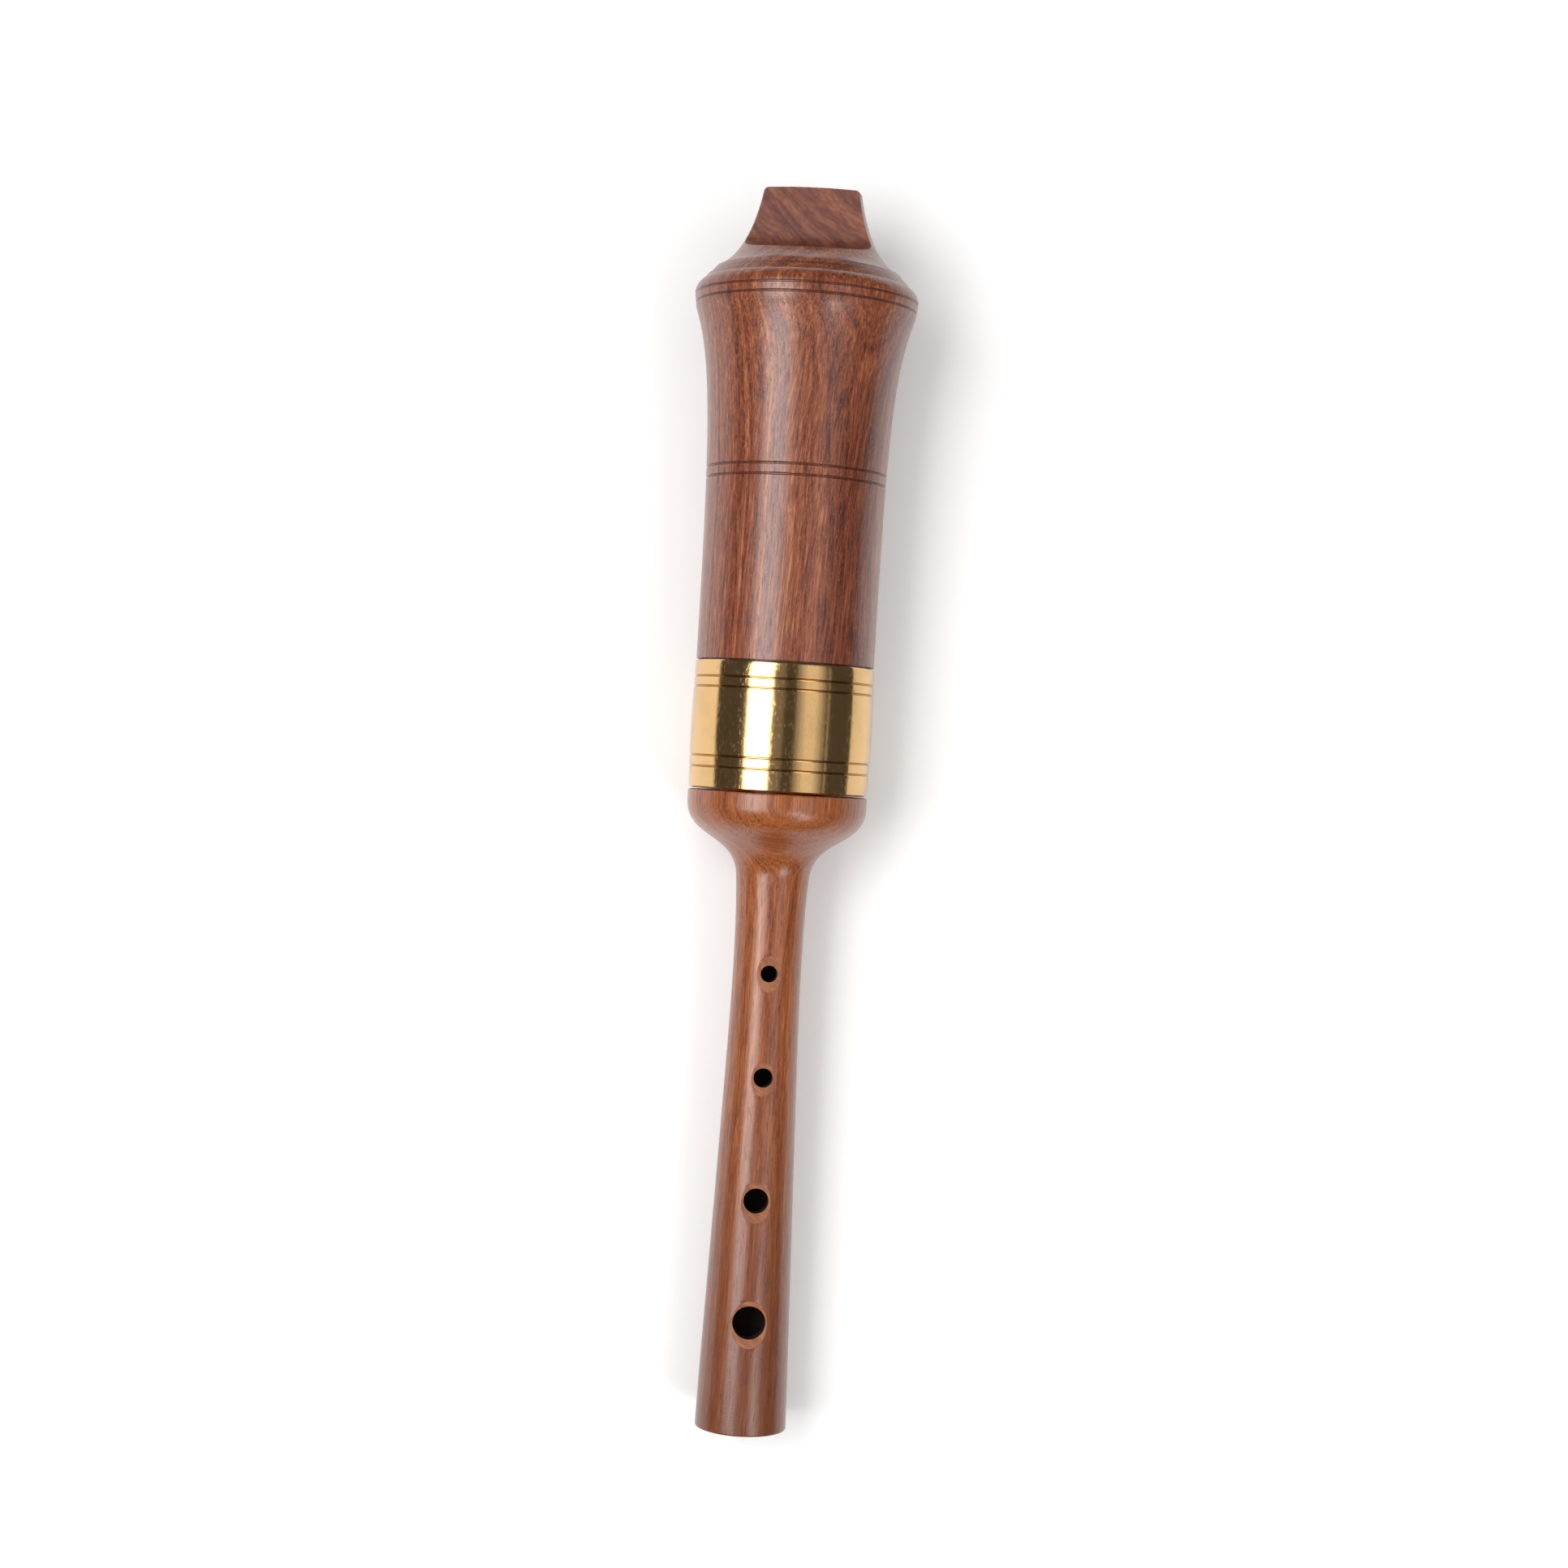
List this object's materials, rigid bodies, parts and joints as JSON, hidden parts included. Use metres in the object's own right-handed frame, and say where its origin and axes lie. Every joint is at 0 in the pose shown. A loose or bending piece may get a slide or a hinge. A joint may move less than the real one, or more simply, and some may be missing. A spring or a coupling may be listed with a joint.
{
  "type": "shawm",
  "caption": "Small wind-capped shawm: turned wooden chanter with finger holes and a tenon, double reed, and a beaked push-on cap with a brass ferrule.",
  "frame": {"origin": "on the instrument's axis, halfway between the foot of the chanter and the tip of the beak", "axes": "+Y along the axis towards the beak, +Z out of the finger holes, +X to the right of someone who looks down on the holes with the beak away from them"},
  "size_m": [0.0468, 0.2594, 0.0466],
  "materials": {
    "cap_rosewood": "oiled, satin",
    "chanter_rosewood": "oiled, satin",
    "ferrule_brass": "polished, with scribed lines",
    "staple_brass": "drawn tube",
    "bridle_brass": "bright wire",
    "waxed_thread": "waxed, wound",
    "reed_thread": "waxed, wound",
    "reed_cane": "scraped cane"
  },
  "bodies": {
    "chanter": {"chanter": "chanter_rosewood", "tenon_lapping": "waxed_thread"},
    "cap": {"windcap": "cap_rosewood", "ferrule": "ferrule_brass"},
    "reed": {"reed_staple": "staple_brass", "staple_lapping": "waxed_thread", "reed_blade_front": "reed_cane", "reed_blade_back": "reed_cane", "reed_binding": "reed_thread", "reed_bridle": "bridle_brass"}
  },
  "joints": [
    {"name": "cap_pull", "type": "slide", "parent": "chanter", "child": "cap", "axis": [0, 1, 0], "range_m": [0, 0.085]},
    {"name": "reed_pull", "type": "slide", "parent": "chanter", "child": "reed", "axis": [0, 1, 0], "range_m": [0, 0.02]}
  ]
}
